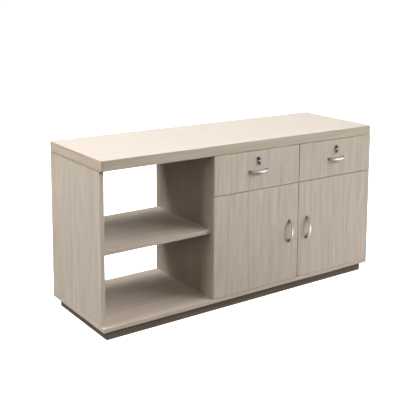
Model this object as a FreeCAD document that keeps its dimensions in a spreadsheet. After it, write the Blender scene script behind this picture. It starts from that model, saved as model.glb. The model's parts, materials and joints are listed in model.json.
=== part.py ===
import FreeCAD, Part
import os
import Sketcher

# Office storage cabinet in board construction: a thick top, an open bay with one shelf on the left, two
# locking drawers over two doors on the right, and a plinth that is set back all round.
# Millimetres. +X runs to the right, +Y to the back, +Z up. The origin is on the floor, under the middle of
# the top.

SIZES = {
    # The whole cabinet and its boards
    "top_width": 1500,
    "top_depth": 500,
    "cabinet_height": 760,
    "top_thickness": 44,
    "top_corner_radius": 12,
    "top_side_overhang": 2.5,
    "top_front_overhang": 1,
    "top_rear_overhang": 2.5,
    "board": 18,
    "front_board": 18,
    "back_board": 8,
    "front_standoff": 2,
    # The open bay and the two shelves
    "open_bay_width": 521.5,
    "open_shelf_height": 362.5,
    "open_shelf_front_inset": 3,
    "open_shelf_rear_inset": 15,
    "cupboard_shelf_drop": 9.5,
    "cupboard_shelf_front_inset": 30,
    "cupboard_shelf_play": 1,
    "shelf_pin_diameter": 5,
    "shelf_pin_depth": 10,
    "shelf_pin_reach": 9,
    "shelf_pin_width": 10,
    "shelf_pin_thickness": 3,
    "shelf_pin_inset": 50,
    # Drawer fronts and doors, with the gaps between them
    "drawer_front_height": 180.5,
    "front_reveal": 3,
    "top_reveal": 2,
    "door_foot_reveal": 2,
    "split_inset": 0.75,
    # Plinth
    "plinth_height": 44,
    "plinth_board": 18,
    "plinth_front_setback": 24,
    "plinth_side_setback": 24,
    "plinth_rear_setback": 24,
    "plinth_screw_seat": 12,
    "plinth_screw_length": 46,
    # Dowels, cam fittings and screws
    "dowel_diameter": 8,
    "dowel_long_end": 18,
    "dowel_short_end": 12,
    "dowel_inset": 60,
    "dowel_end_gap": 0.5,
    "cam_diameter": 15,
    "cam_depth": 12.5,
    "cam_setback": 24,
    "cam_inset": 100,
    "bolt_diameter": 6,
    "bolt_thread": 11,
    "screw_diameter": 3.5,
    "screw_head_diameter": 7,
    "screw_head_height": 2,
    "screw_grip": 12,
    "back_screw_length": 30,
    "fixing_fit": 0.05,
    # Bow handles
    "handle_hole_spacing": 96,
    "handle_length": 112,
    "handle_rise": 28,
    "handle_foot": 15,
    "handle_middle": 5.5,
    "handle_width": 12,
    "handle_screw_diameter": 4,
    "handle_screw_depth": 6,
    "drawer_handle_drop": 93,
    "door_handle_inset": 54,
    "door_handle_raise": 6,
    # Drawer boxes
    "drawer_board": 15,
    "drawer_side_height": 110,
    "drawer_floor_gap": 12,
    "drawer_bottom_board": 4,
    "groove_rise": 10,
    "groove_depth": 6,
    "groove_fit": 0.2,
    # Three-part drawer runners
    "runner_rear_clearance": 66.5,
    "runner_front_inset": 2,
    "runner_space": 13,
    "runner_height": 45,
    "runner_steel": 1.2,
    "runner_gap": 0.8,
    "runner_flange": 10,
    # Drawer locks and their keys
    "lock_drop": 36,
    "lock_flange_diameter": 22,
    "lock_flange_thickness": 2,
    "lock_body_diameter": 18,
    "lock_body_tail": 6,
    "plug_diameter": 12.6,
    "plug_proud": 0.5,
    "plug_tail_diameter": 8,
    "plug_tail_end": 1,
    "lock_fit": 0.05,
    "cam_plate_thickness": 2.5,
    "cam_plate_width": 12,
    "cam_plate_reach": 28,
    "cam_plate_heel": 7,
    "cam_plate_gap": 0.3,
    "strike_gap": 0.5,
    "strike_steel": 1.5,
    "strike_width": 30,
    "strike_leg": 30,
    "strike_clearance": 14,
    "key_thickness": 2,
    "key_width": 7,
    "key_insertion": 20,
    "key_pin_standoff": 5,
    "key_pin_diameter": 2,
    "key_fit": 0.3,
    "key_bow_width": 12,
    "key_bow_thickness": 5,
    "key_bow_drop": 30,
    "key_bow_head": 3,
    # Concealed door hinges
    "hinge_end_distance": 100,
    "cup_diameter": 35,
    "cup_depth": 11.5,
    "cup_wall": 0.8,
    "cup_edge_distance": 5,
    "cup_flange_thickness": 1,
    "cup_flange_height": 60,
    "cup_flange_width": 20,
    "cup_flange_offset": 8,
    "cup_screw_spacing": 48,
    "cup_pin_inset": 9.5,
    "cup_pin_depth": 5,
    "hinge_pin_diameter": 2.5,
    "hinge_pin_fit": 0.05,
    "hinge_eye_wall": 0.9,
    "link_steel": 2,
    "link_width": 10,
    "elbow_inset": 16,
    "elbow_depth": 8,
    "arm_pin_offset": 14,
    "arm_pin_setback": 3,
    "arm_nose": 3,
    "arm_length": 58,
    "arm_steel": 1.2,
    "arm_height": 16,
    "arm_cover": 4,
    "plate_thickness": 3,
    "plate_front": 22,
    "plate_length": 36,
    "plate_height": 52,
    "plate_screw_spacing": 32,
    "plate_play": 0.5,
    # What every cut runs past the surface that it opens
    "overrun": 2,
}

# Places along a piece, as shares of its length
PLINTH_SCREW_SHARES = (0.06, 0.36, 0.64, 0.94)
BACK_SCREW_SHARES = (0.1, 0.35, 0.65, 0.9)
PARTITION_SCREW_SHARES = (0.25, 0.75)
DRAWER_DOWEL_SHARES = (0.3, 0.8)
DRAWER_SCREW_SHARES = (0.25, 0.85)
# The screws on the two faces of the drawer partition miss each other
RUNNER_SCREW_SHARES = {"+": (0.12, 0.5, 0.88), "-": (0.16, 0.54, 0.84)}
STRIKE_SCREW_SHARES = (0.2, 0.8)

doc = FreeCAD.newDocument("storage_cabinet")
sheet = doc.addObject("Spreadsheet::Sheet", "Sizes")
for row, (alias, size) in enumerate(SIZES.items(), start=1):
    sheet.set(f"A{row}", alias)
    sheet.set(f"B{row}", str(size))
    sheet.setAlias(f"B{row}", alias)
doc.recompute()

# Planes of the cabinet, as expressions on the sheet
CARCASS_LEFT = "(Sizes.top_side_overhang - Sizes.top_width / 2)"
CARCASS_RIGHT = "(Sizes.top_width / 2 - Sizes.top_side_overhang)"
CARCASS_REAR = "(Sizes.top_depth / 2 - Sizes.top_rear_overhang)"
FRONT_FACE = "(Sizes.top_front_overhang - Sizes.top_depth / 2)"
FRONT_REAR = f"({FRONT_FACE} + Sizes.front_board)"
PANEL_FRONT = f"({FRONT_REAR} + Sizes.front_standoff)"
BACK_FRONT = f"({CARCASS_REAR} - Sizes.back_board)"
TOP_UNDERSIDE = "(Sizes.cabinet_height - Sizes.top_thickness)"
BASE_TOP = "(Sizes.plinth_height + Sizes.board)"
LEFT_INNER = f"({CARCASS_LEFT} + Sizes.board)"
RIGHT_INNER = f"({CARCASS_RIGHT} - Sizes.board)"
DIVIDER_LEFT = f"({LEFT_INNER} + Sizes.open_bay_width)"
DIVIDER_RIGHT = f"({DIVIDER_LEFT} + Sizes.board)"
DECK_MIDDLE = f"({TOP_UNDERSIDE} - Sizes.top_reveal - Sizes.drawer_front_height - Sizes.front_reveal / 2)"
DECK_BOTTOM = f"({DECK_MIDDLE} - Sizes.board / 2)"
DECK_TOP = f"({DECK_MIDDLE} + Sizes.board / 2)"
PARTITION_MIDDLE = f"(({DIVIDER_RIGHT} + {RIGHT_INNER}) / 2)"
PARTITION_LEFT = f"({PARTITION_MIDDLE} - Sizes.board / 2)"
PARTITION_RIGHT = f"({PARTITION_MIDDLE} + Sizes.board / 2)"
FRONT_SPLIT = f"({PARTITION_RIGHT} - Sizes.split_inset)"

FRONT_Y = (FRONT_FACE, FRONT_REAR)
PANEL_Y = (PANEL_FRONT, CARCASS_REAR)
INNER_Y = (PANEL_FRONT, BACK_FRONT)
PANEL_Z = (BASE_TOP, TOP_UNDERSIDE)
DECK_Z = (DECK_BOTTOM, DECK_TOP)
DRAWER_FRONT_Z = (f"({DECK_MIDDLE} + Sizes.front_reveal / 2)", f"({TOP_UNDERSIDE} - Sizes.top_reveal)")
DOOR_Z = (f"({BASE_TOP} + Sizes.door_foot_reveal)", f"({DECK_MIDDLE} - Sizes.front_reveal / 2)")
FRONT_X = {
    "left": (DIVIDER_LEFT, f"({FRONT_SPLIT} - Sizes.front_reveal / 2)"),
    "right": (f"({FRONT_SPLIT} + Sizes.front_reveal / 2)", CARCASS_RIGHT),
}

# The turn that lays a cylinder, which stands along +Z, along each axis
TURNS = {
    "+X": (FreeCAD.Vector(0, 1, 0), 90),
    "-X": (FreeCAD.Vector(0, 1, 0), -90),
    "+Y": (FreeCAD.Vector(1, 0, 0), -90),
    "-Y": (FreeCAD.Vector(1, 0, 0), 90),
    "+Z": (FreeCAD.Vector(0, 0, 1), 0),
    "-Z": (FreeCAD.Vector(1, 0, 0), 180),
}
OPPOSITE = {"+X": "-X", "-X": "+X", "+Y": "-Y", "-Y": "+Y", "+Z": "-Z", "-Z": "+Z"}

blanks = {}
drilled = {}
groups = {}
nodes = []


def middle(span):
    """The expression half way between two planes."""
    return f"(({span[0]} + {span[1]}) / 2)"


def between(span, share):
    """The expression at a share of the way from the first plane to the second."""
    return f"({span[0]} + ({span[1]} - {span[0]}) * {share})"


def spread(centre, width):
    """The two planes half a width to either side of a centre."""
    return (f"({centre} - {width} / 2)", f"({centre} + {width} / 2)")


def along(point, way, distance):
    """A point moved one way along an axis."""
    axis = "XYZ".index(way[1])
    moved = list(point)
    moved[axis] = f"({point[axis]} {way[0]} {distance})"
    return tuple(moved)


def place(item, x, y, z):
    """Binds an object's place to three expressions."""
    for letter, expression in zip("xyz", (x, y, z)):
        item.setExpression(f"Placement.Base.{letter}", expression)


def box(name, x_span, y_span, z_span):
    """A block between three pairs of planes."""
    block = doc.addObject("Part::Box", name)
    for side, (low, high) in zip(("Length", "Width", "Height"), (x_span, y_span, z_span)):
        block.setExpression(side, f"{high} - {low}")
    place(block, x_span[0], y_span[0], z_span[0])
    return block


def rod(name, way, start, diameter, length):
    """A round bar that starts at a point and runs one way along an axis."""
    bar = doc.addObject("Part::Cylinder", name)
    bar.setExpression("Radius", f"({diameter}) / 2")
    bar.setExpression("Height", length)
    bar.Placement = FreeCAD.Placement(FreeCAD.Vector(), FreeCAD.Rotation(*TURNS[way]))
    place(bar, *start)
    return bar


def strip(name, start, end, thickness, z_span):
    """A flat strip on edge from one (x, y) point to another, with half its thickness to either side."""
    run = f"({end[0]} - {start[0]})"
    rise = f"({end[1]} - {start[1]})"
    length = f"sqrt({run}^2 + {rise}^2)"
    flat = doc.addObject("Part::Box", name)
    flat.setExpression("Length", length)
    flat.setExpression("Width", thickness)
    flat.setExpression("Height", f"{z_span[1]} - {z_span[0]}")
    flat.setExpression("Placement.Rotation.Angle", f"atan2({rise}; {run})")
    place(
        flat,
        f"{start[0]} + {thickness} / 2 * {rise} / {length}",
        f"{start[1]} - {thickness} / 2 * {run} / {length}",
        z_span[0],
    )
    return flat


def fuse(name, items):
    """One solid from several."""
    whole = doc.addObject("Part::MultiFuse", name)
    whole.Shapes = items
    return whole


def cut(name, base, tools):
    """A solid with holes and slots taken out."""
    rest = doc.addObject("Part::Cut", name)
    rest.Base = base
    rest.Tool = tools[0] if len(tools) == 1 else fuse(f"{name}_cuts", tools)
    return rest


def common(name, base, tool):
    """The part that two solids share."""
    shared = doc.addObject("Part::Common", name)
    shared.Base = base
    shared.Tool = tool
    return shared


def node(label, item):
    """Marks an object as a sub-part, under its own label."""
    item.Label = label
    nodes.append(item)
    return item


def panel(label, x_span, y_span, z_span):
    """A board, kept as a blank until all its holes are known."""
    blanks[label] = box(f"{label}_blank", x_span, y_span, z_span)


def drill(hole, *labels):
    """Takes one hole out of each of the boards that it runs through."""
    for label in labels:
        drilled.setdefault(label, []).append(hole)


def gather(label, *items):
    """Adds solids to a sub-part that is a group of separate pieces."""
    groups.setdefault(label, []).extend(items)


def dowel(group, way, joint, near, far):
    """A dowel across the face where two boards meet, with its longer end in the near board."""
    start = along(joint, OPPOSITE[way], "Sizes.dowel_long_end")
    length = "Sizes.dowel_long_end + Sizes.dowel_short_end"
    gather(group, rod("dowel", way, start, "Sizes.dowel_diameter", length))
    hole_start = along(start, OPPOSITE[way], "Sizes.dowel_end_gap")
    hole_length = f"{length} + 2 * Sizes.dowel_end_gap"
    wide = "Sizes.dowel_diameter + 2 * Sizes.fixing_fit"
    drill(rod("dowel_hole", way, hole_start, wide, hole_length), near, far)


def flush_screw(group, way, surface, length, *labels):
    """A countersunk screw with its head level with a surface, and its stepped hole."""
    seat = along(surface, way, "Sizes.screw_head_height")
    shank = rod("screw_shank", way, seat, "Sizes.screw_diameter", f"{length} - Sizes.screw_head_height")
    head = rod("screw_head", way, surface, "Sizes.screw_head_diameter", "Sizes.screw_head_height")
    gather(group, fuse("screw", [shank, head]))
    wide = "Sizes.screw_head_diameter + 2 * Sizes.fixing_fit"
    drill(rod("screw_sink", way, surface, wide, "Sizes.screw_head_height"), labels[0])
    narrow = "Sizes.screw_diameter + 2 * Sizes.fixing_fit"
    drill(rod("screw_hole", way, surface, narrow, f"{length} + Sizes.dowel_end_gap"), *labels)


def raised_screw(group, way, seat, diameter, length, *labels):
    """A screw whose head stands on a surface, and the hole for its shank."""
    head_width = f"{diameter} * Sizes.screw_head_diameter / Sizes.screw_diameter"
    shank = rod("screw_shank", way, seat, diameter, length)
    head = rod("screw_head", OPPOSITE[way], seat, head_width, "Sizes.screw_head_height")
    gather(group, fuse("screw", [shank, head]))
    wide = f"{diameter} + 2 * Sizes.fixing_fit"
    drill(rod("screw_hole", way, seat, wide, f"{length} + Sizes.dowel_end_gap"), *labels)


def cam_fitting(way, face_way, face, joint, near, far):
    """A bolt in the far board that a cam in the near board's face draws tight."""
    start = along(joint, way, "Sizes.bolt_thread")
    length = "Sizes.bolt_thread + Sizes.cam_setback"
    gather("cam_bolts", rod("cam_bolt", OPPOSITE[way], start, "Sizes.bolt_diameter", length))
    bore_start = along(start, way, "Sizes.dowel_end_gap")
    bore_length = f"{length} + 2 * Sizes.dowel_end_gap"
    wide = "Sizes.bolt_diameter + 2 * Sizes.fixing_fit"
    bore = rod("cam_bolt_bore", OPPOSITE[way], bore_start, wide, bore_length)
    drill(bore, near, far)
    centre = along((face, joint[1], joint[2]), OPPOSITE[way], "Sizes.cam_setback")
    disc = rod("cam_disc", face_way, centre, "Sizes.cam_diameter", "Sizes.cam_depth")
    gather("cam_locks", cut("cam_lock", disc, [bore]))
    pocket = "Sizes.cam_diameter + 2 * Sizes.fixing_fit"
    drill(rod("cam_pocket", face_way, centre, pocket, "Sizes.cam_depth + Sizes.fixing_fit"), near)


def top_blank():
    """The top: a slab padded from a sketch of its plan, with its upright corners rounded."""
    body = doc.addObject("PartDesign::Body", "top_slab")
    plane = next(item for item in body.Origin.OriginFeatures if item.Role == "XY_Plane")
    plan = body.newObject("Sketcher::SketchObject", "top_plan")
    plan.AttachmentSupport = (plane, "")
    plan.MapMode = "FlatFace"
    half_width, half_depth = SIZES["top_width"] / 2, SIZES["top_depth"] / 2
    corners = [
        FreeCAD.Vector(x * half_width, y * half_depth, 0)
        for x, y in ((-1, -1), (1, -1), (1, 1), (-1, 1))
    ]
    for index, corner in enumerate(corners):
        plan.addGeometry(Part.LineSegment(corner, corners[(index + 1) % len(corners)]))
    for index in range(len(corners)):
        plan.addConstraint(Sketcher.Constraint("Coincident", index, 2, (index + 1) % len(corners), 1))
    for index, way in enumerate(("Horizontal", "Vertical", "Horizontal", "Vertical")):
        plan.addConstraint(Sketcher.Constraint(way, index))
    plan.addConstraint(Sketcher.Constraint("Symmetric", 0, 1, 2, 1, -1, 1))
    width = plan.addConstraint(Sketcher.Constraint("DistanceX", 0, 1, 0, 2, 2 * half_width))
    depth = plan.addConstraint(Sketcher.Constraint("DistanceY", 1, 1, 1, 2, 2 * half_depth))
    plan.setExpression(f"Constraints[{width}]", "Sizes.top_width")
    plan.setExpression(f"Constraints[{depth}]", "Sizes.top_depth")
    pad = body.newObject("PartDesign::Pad", "top_pad")
    pad.Profile = plan
    pad.setExpression("Length", "Sizes.top_thickness")
    doc.recompute()
    upright = [
        f"Edge{index}"
        for index, edge in enumerate(pad.Shape.Edges, start=1)
        if edge.Vertexes[0].Z != edge.Vertexes[1].Z
    ]
    fillet = body.newObject("PartDesign::Fillet", "top_corners")
    fillet.Base = (pad, upright)
    fillet.setExpression("Radius", "Sizes.top_corner_radius")
    place(body, "0", "0", TOP_UNDERSIDE)
    return body


# Carcass boards
OPEN_SHELF_Y = (
    f"({PANEL_FRONT} + Sizes.open_shelf_front_inset)",
    f"({CARCASS_REAR} - Sizes.open_shelf_rear_inset)",
)
OPEN_SHELF_Z = ("Sizes.open_shelf_height", "(Sizes.open_shelf_height + Sizes.board)")
# The cupboard shelf's underside lies a little below the middle of the cupboard
CUPBOARD_SHELF_FOOT = f"({middle((BASE_TOP, DECK_BOTTOM))} - Sizes.cupboard_shelf_drop)"
CUPBOARD_SHELF_Z = (CUPBOARD_SHELF_FOOT, f"({CUPBOARD_SHELF_FOOT} + Sizes.board)")
CUPBOARD_SHELF_Y = (
    f"({PANEL_FRONT} + Sizes.cupboard_shelf_front_inset)",
    f"({BACK_FRONT} - Sizes.cupboard_shelf_play)",
)
UPRIGHTS = {
    "left_side_panel": (CARCASS_LEFT, LEFT_INNER),
    "divider_panel": (DIVIDER_LEFT, DIVIDER_RIGHT),
    "right_side_panel": (RIGHT_INNER, CARCASS_RIGHT),
}
blanks["top_panel"] = top_blank()
for label, x_span in UPRIGHTS.items():
    panel(label, x_span, PANEL_Y, PANEL_Z)
BASE_Z = ("Sizes.plinth_height", BASE_TOP)
panel("bottom_panel", (CARCASS_LEFT, CARCASS_RIGHT), (FRONT_FACE, CARCASS_REAR), BASE_Z)
panel("open_shelf", (LEFT_INNER, DIVIDER_LEFT), OPEN_SHELF_Y, OPEN_SHELF_Z)
panel("back_panel", (DIVIDER_RIGHT, RIGHT_INNER), (BACK_FRONT, CARCASS_REAR), PANEL_Z)
panel("drawer_deck", (DIVIDER_RIGHT, RIGHT_INNER), INNER_Y, DECK_Z)
panel("drawer_partition", (PARTITION_LEFT, PARTITION_RIGHT), INNER_Y, (DECK_TOP, TOP_UNDERSIDE))
panel(
    "cupboard_shelf",
    (f"({DIVIDER_RIGHT} + Sizes.cupboard_shelf_play)", f"({RIGHT_INNER} - Sizes.cupboard_shelf_play)"),
    CUPBOARD_SHELF_Y,
    CUPBOARD_SHELF_Z,
)

# Plinth: four rails and a brace across the middle
PLINTH_X = (f"({CARCASS_LEFT} + Sizes.plinth_side_setback)", f"({CARCASS_RIGHT} - Sizes.plinth_side_setback)")
PLINTH_Y = (f"({FRONT_FACE} + Sizes.plinth_front_setback)", f"({CARCASS_REAR} - Sizes.plinth_rear_setback)")
PLINTH_Z = ("0", "Sizes.plinth_height")
PLINTH_INNER_Y = (f"({PLINTH_Y[0]} + Sizes.plinth_board)", f"({PLINTH_Y[1]} - Sizes.plinth_board)")
PLINTH_CROSS = {
    "plinth_left_rail": (PLINTH_X[0], f"({PLINTH_X[0]} + Sizes.plinth_board)"),
    "plinth_brace": spread("0", "Sizes.plinth_board"),
    "plinth_right_rail": (f"({PLINTH_X[1]} - Sizes.plinth_board)", PLINTH_X[1]),
}
panel("plinth_front_rail", PLINTH_X, (PLINTH_Y[0], PLINTH_INNER_Y[0]), PLINTH_Z)
panel("plinth_rear_rail", PLINTH_X, (PLINTH_INNER_Y[1], PLINTH_Y[1]), PLINTH_Z)
for label, x_span in PLINTH_CROSS.items():
    panel(label, x_span, PLINTH_INNER_Y, PLINTH_Z)
    across = (middle(x_span), middle(PLINTH_Z))
    dowel("carcass_dowels", "-Y", (across[0], PLINTH_INNER_Y[0], across[1]), label, "plinth_front_rail")
    dowel("carcass_dowels", "+Y", (across[0], PLINTH_INNER_Y[1], across[1]), label, "plinth_rear_rail")
for rail, y in (
    ("plinth_front_rail", middle((PLINTH_Y[0], PLINTH_INNER_Y[0]))),
    ("plinth_rear_rail", middle((PLINTH_INNER_Y[1], PLINTH_Y[1]))),
):
    for share in PLINTH_SCREW_SHARES:
        seat = (between(PLINTH_X, share), y, "Sizes.plinth_screw_seat")
        length = "Sizes.plinth_screw_length"
        raised_screw("carcass_screws", "+Z", seat, "Sizes.screw_diameter", length, rail, "bottom_panel")
        mouth = "Sizes.screw_head_diameter + 2 * Sizes.groove_fit"
        drill(rod("screw_well", "-Z", seat, mouth, "Sizes.plinth_screw_seat + Sizes.overrun"), rail)

# Dowels and cam fittings between the uprights, the top and the base
CAM_FACES = {
    "left_side_panel": (LEFT_INNER, "-X"),
    "divider_panel": (DIVIDER_RIGHT, "-X"),
    "right_side_panel": (RIGHT_INNER, "+X"),
}
for label, x_span in UPRIGHTS.items():
    face, face_way = CAM_FACES[label]
    for z, way, far in ((TOP_UNDERSIDE, "+Z", "top_panel"), (BASE_TOP, "-Z", "bottom_panel")):
        for y in (f"({PANEL_FRONT} + Sizes.dowel_inset)", f"({CARCASS_REAR} - Sizes.dowel_inset)"):
            dowel("carcass_dowels", way, (middle(x_span), y, z), label, far)
        for y in (f"({PANEL_FRONT} + Sizes.cam_inset)", f"({CARCASS_REAR} - Sizes.cam_inset)"):
            cam_fitting(way, face_way, face, (middle(x_span), y, z), label, far)
for y in (f"({PANEL_FRONT} + Sizes.dowel_inset)", f"({BACK_FRONT} - Sizes.dowel_inset)"):
    dowel("carcass_dowels", "+Z", (PARTITION_MIDDLE, y, TOP_UNDERSIDE), "drawer_partition", "top_panel")
    dowel("carcass_dowels", "-Z", (PARTITION_MIDDLE, y, DECK_TOP), "drawer_partition", "drawer_deck")
    dowel("carcass_dowels", "-X", (DIVIDER_RIGHT, y, DECK_MIDDLE), "drawer_deck", "divider_panel")
    dowel("carcass_dowels", "+X", (RIGHT_INNER, y, DECK_MIDDLE), "drawer_deck", "right_side_panel")
for y in (f"({OPEN_SHELF_Y[0]} + Sizes.dowel_inset)", f"({OPEN_SHELF_Y[1]} - Sizes.dowel_inset)"):
    dowel("carcass_dowels", "-X", (LEFT_INNER, y, middle(OPEN_SHELF_Z)), "open_shelf", "left_side_panel")
    dowel("carcass_dowels", "+X", (DIVIDER_LEFT, y, middle(OPEN_SHELF_Z)), "open_shelf", "divider_panel")

# Screws that hold the back panel to the deck and the partition
for share in BACK_SCREW_SHARES:
    point = (between((DIVIDER_RIGHT, RIGHT_INNER), share), CARCASS_REAR, DECK_MIDDLE)
    flush_screw("carcass_screws", "-Y", point, "Sizes.back_screw_length", "back_panel", "drawer_deck")
for share in PARTITION_SCREW_SHARES:
    point = (PARTITION_MIDDLE, CARCASS_REAR, between((DECK_TOP, TOP_UNDERSIDE), share))
    flush_screw("carcass_screws", "-Y", point, "Sizes.back_screw_length", "back_panel", "drawer_partition")

# Pins with a flat tongue that carry the cupboard shelf
TONGUE_Z = (f"({CUPBOARD_SHELF_FOOT} - Sizes.shelf_pin_thickness)", CUPBOARD_SHELF_FOOT)
for face, way, label in ((DIVIDER_RIGHT, "-X", "divider_panel"), (RIGHT_INNER, "+X", "right_side_panel")):
    for y in (
        f"({CUPBOARD_SHELF_Y[0]} + Sizes.shelf_pin_inset)",
        f"({CUPBOARD_SHELF_Y[1]} - Sizes.shelf_pin_inset)",
    ):
        start = (face, y, middle(TONGUE_Z))
        shank = rod("shelf_pin_shank", way, start, "Sizes.shelf_pin_diameter", "Sizes.shelf_pin_depth")
        tip = along(start, OPPOSITE[way], "Sizes.shelf_pin_reach")[0]
        tongue_x = (face, tip) if way == "-X" else (tip, face)
        tongue = box("shelf_pin_tongue", tongue_x, spread(y, "Sizes.shelf_pin_width"), TONGUE_Z)
        gather("shelf_pins", fuse("shelf_pin", [shank, tongue]))
        wide = "Sizes.shelf_pin_diameter + 2 * Sizes.fixing_fit"
        drill(rod("shelf_pin_hole", way, start, wide, "Sizes.shelf_pin_depth + Sizes.dowel_end_gap"), label)


# Bow handle: the crescent between two arcs that stand on the same front
def arc_circle(half_chord, rise):
    """Diameter of the circle through an arc's ends and crown, and how far its centre lies behind the ends."""
    radius = f"(({half_chord}^2 + {rise}^2) / (2 * {rise}))"
    return f"2 * {radius}", f"({radius} - {rise})"


def bow_handle(label, centre, axis):
    """A handle on the front face, with its length along one axis and its screws in its two feet."""
    axis_way = f"+{axis}"
    front = (centre[0], FRONT_FACE, centre[1])
    low = along(front, f"-{'Z' if axis == 'X' else 'X'}", "Sizes.handle_width / 2")
    barrels = []
    for half_chord, rise in (
        ("(Sizes.handle_length / 2)", "Sizes.handle_rise"),
        ("(Sizes.handle_length / 2 - Sizes.handle_foot)", "(Sizes.handle_rise - Sizes.handle_middle)"),
    ):
        diameter, behind = arc_circle(half_chord, rise)
        start = along(low, "+Y", behind)
        across = "+Z" if axis == "X" else "+X"
        barrels.append(rod(f"{label}_arc", across, start, diameter, "Sizes.handle_width"))
    ring = cut(f"{label}_ring", barrels[0], [barrels[1]])
    x_size, z_size = "Sizes.handle_length", "Sizes.handle_width"
    if axis == "Z":
        x_size, z_size = z_size, x_size
    reach = (f"({FRONT_FACE} - Sizes.handle_rise)", FRONT_FACE)
    zone = box(f"{label}_zone", spread(centre[0], x_size), reach, spread(centre[1], z_size))
    blanks[label] = common(f"{label}_bow", ring, zone)
    return [along(front, f"{sign}{axis}", "Sizes.handle_hole_spacing / 2") for sign in "-+"]


def handle_screws(group, feet, *labels):
    """Machine screws from behind the front into the handle's feet."""
    for foot in feet:
        seat = (foot[0], FRONT_REAR, foot[2])
        length = "Sizes.front_board + Sizes.handle_screw_depth"
        raised_screw(group, "-Y", seat, "Sizes.handle_screw_diameter", length, *labels)


# Drawers: each hangs between two walls on a pair of three-part runners
BOX_BOTTOM = f"({DECK_TOP} + Sizes.drawer_floor_gap)"
BOX_Z = (BOX_BOTTOM, f"({BOX_BOTTOM} + Sizes.drawer_side_height)")
RUNNER_Y = (f"({PANEL_FRONT} + Sizes.runner_front_inset)", f"({BACK_FRONT} - Sizes.runner_rear_clearance)")
BOX_REAR = RUNNER_Y[1]
RUNNER_MIDDLE = middle(BOX_Z)
BOTTOM_Z = (
    f"({BOX_BOTTOM} + Sizes.groove_rise)",
    f"({BOX_BOTTOM} + Sizes.groove_rise + Sizes.drawer_bottom_board)",
)
LOCK_HEIGHT = f"({DRAWER_FRONT_Z[1]} - Sizes.lock_drop)"
LOCK_FRONT = f"({FRONT_FACE} - Sizes.lock_flange_thickness)"
LOCK_REAR = f"({FRONT_REAR} + Sizes.lock_body_tail)"
PLUG_FRONT = f"({LOCK_FRONT} - Sizes.plug_proud)"
CAM_PLATE_Y = (
    f"({LOCK_REAR} + Sizes.cam_plate_gap)",
    f"({LOCK_REAR} + Sizes.cam_plate_gap + Sizes.cam_plate_thickness)",
)
KEY_PIN_Y = f"({PLUG_FRONT} - Sizes.key_pin_standoff)"
DRAWER_WALLS = {
    "left": ((DIVIDER_RIGHT, "divider_panel"), (PARTITION_LEFT, "drawer_partition")),
    "right": ((PARTITION_RIGHT, "drawer_partition"), (RIGHT_INNER, "right_side_panel")),
}


def channel(name, wall, sign, web, flange, half_height):
    """A steel channel along Y: a web and two flanges, at distances from the wall that carries the runner."""
    def x_span(span):
        near, far = (f"({wall} {sign} {distance})" for distance in span)
        return (near, far) if sign == "+" else (far, near)

    parts = [box(f"{name}_web", x_span(web), RUNNER_Y, spread(RUNNER_MIDDLE, f"(2 * {half_height})"))]
    for way in "-+":
        edge = f"({RUNNER_MIDDLE} {way} {half_height})"
        inside = f"({RUNNER_MIDDLE} {way} ({half_height} - Sizes.runner_steel))"
        z_span = (edge, inside) if way == "-" else (inside, edge)
        parts.append(box(f"{name}_flange", x_span(flange), RUNNER_Y, z_span))
    return fuse(name, parts)


def runner(side, wall, wall_panel, sign, box_side):
    """One runner: the outer rail on the wall, the inner rail on the drawer, the middle rail between them."""
    steel = "Sizes.runner_steel"
    step = "(Sizes.runner_steel + Sizes.runner_gap)"
    outer_half = "(Sizes.runner_height / 2)"
    inner_web = "(Sizes.runner_space - Sizes.runner_steel)"
    outer = channel("outer_rail", wall, sign, ("0", steel), ("0", "Sizes.runner_flange"), outer_half)
    mid = channel(
        "middle_rail", wall, sign, (step, f"({step} + {steel})"), (step, "Sizes.runner_flange"),
        f"({outer_half} - {step})",
    )
    inner = channel(
        "inner_rail", wall, sign, (inner_web, "Sizes.runner_space"), (f"(2 * {step})", "Sizes.runner_space"),
        f"({outer_half} - 2 * {step})",
    )
    gather(f"{side}_drawer_middle_rails", mid)
    outer_way, inner_way = ("-X", "+X") if sign == "+" else ("+X", "-X")
    outer_holes, inner_holes = [], []
    for share in RUNNER_SCREW_SHARES[sign]:
        y = between(RUNNER_Y, share)
        for rail_face, way, group, carrier, holes in (
            (f"({wall} {sign} {steel})", outer_way, "hardware_screws", wall_panel, outer_holes),
            (f"({wall} {sign} {inner_web})", inner_way, f"{side}_drawer_fixings", box_side, inner_holes),
        ):
            surface = (rail_face, y, RUNNER_MIDDLE)
            seat = along(surface, way, steel)
            shank = rod("rail_screw_shank", way, seat, "Sizes.screw_diameter", "Sizes.screw_grip")
            head = rod("rail_screw_head", way, surface, "Sizes.screw_head_diameter", steel)
            gather(group, fuse("rail_screw", [shank, head]))
            wide = "Sizes.screw_head_diameter + 2 * Sizes.fixing_fit"
            holes.append(rod("rail_hole", way, surface, wide, steel))
            narrow = "Sizes.screw_diameter + 2 * Sizes.fixing_fit"
            depth = "Sizes.screw_grip + Sizes.dowel_end_gap"
            drill(rod("rail_screw_hole", way, seat, narrow, depth), carrier)
    gather("runner_outer_rails", cut("outer_rail_drilled", outer, outer_holes))
    gather(f"{side}_drawer_inner_rails", cut("inner_rail_drilled", inner, inner_holes))


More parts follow.
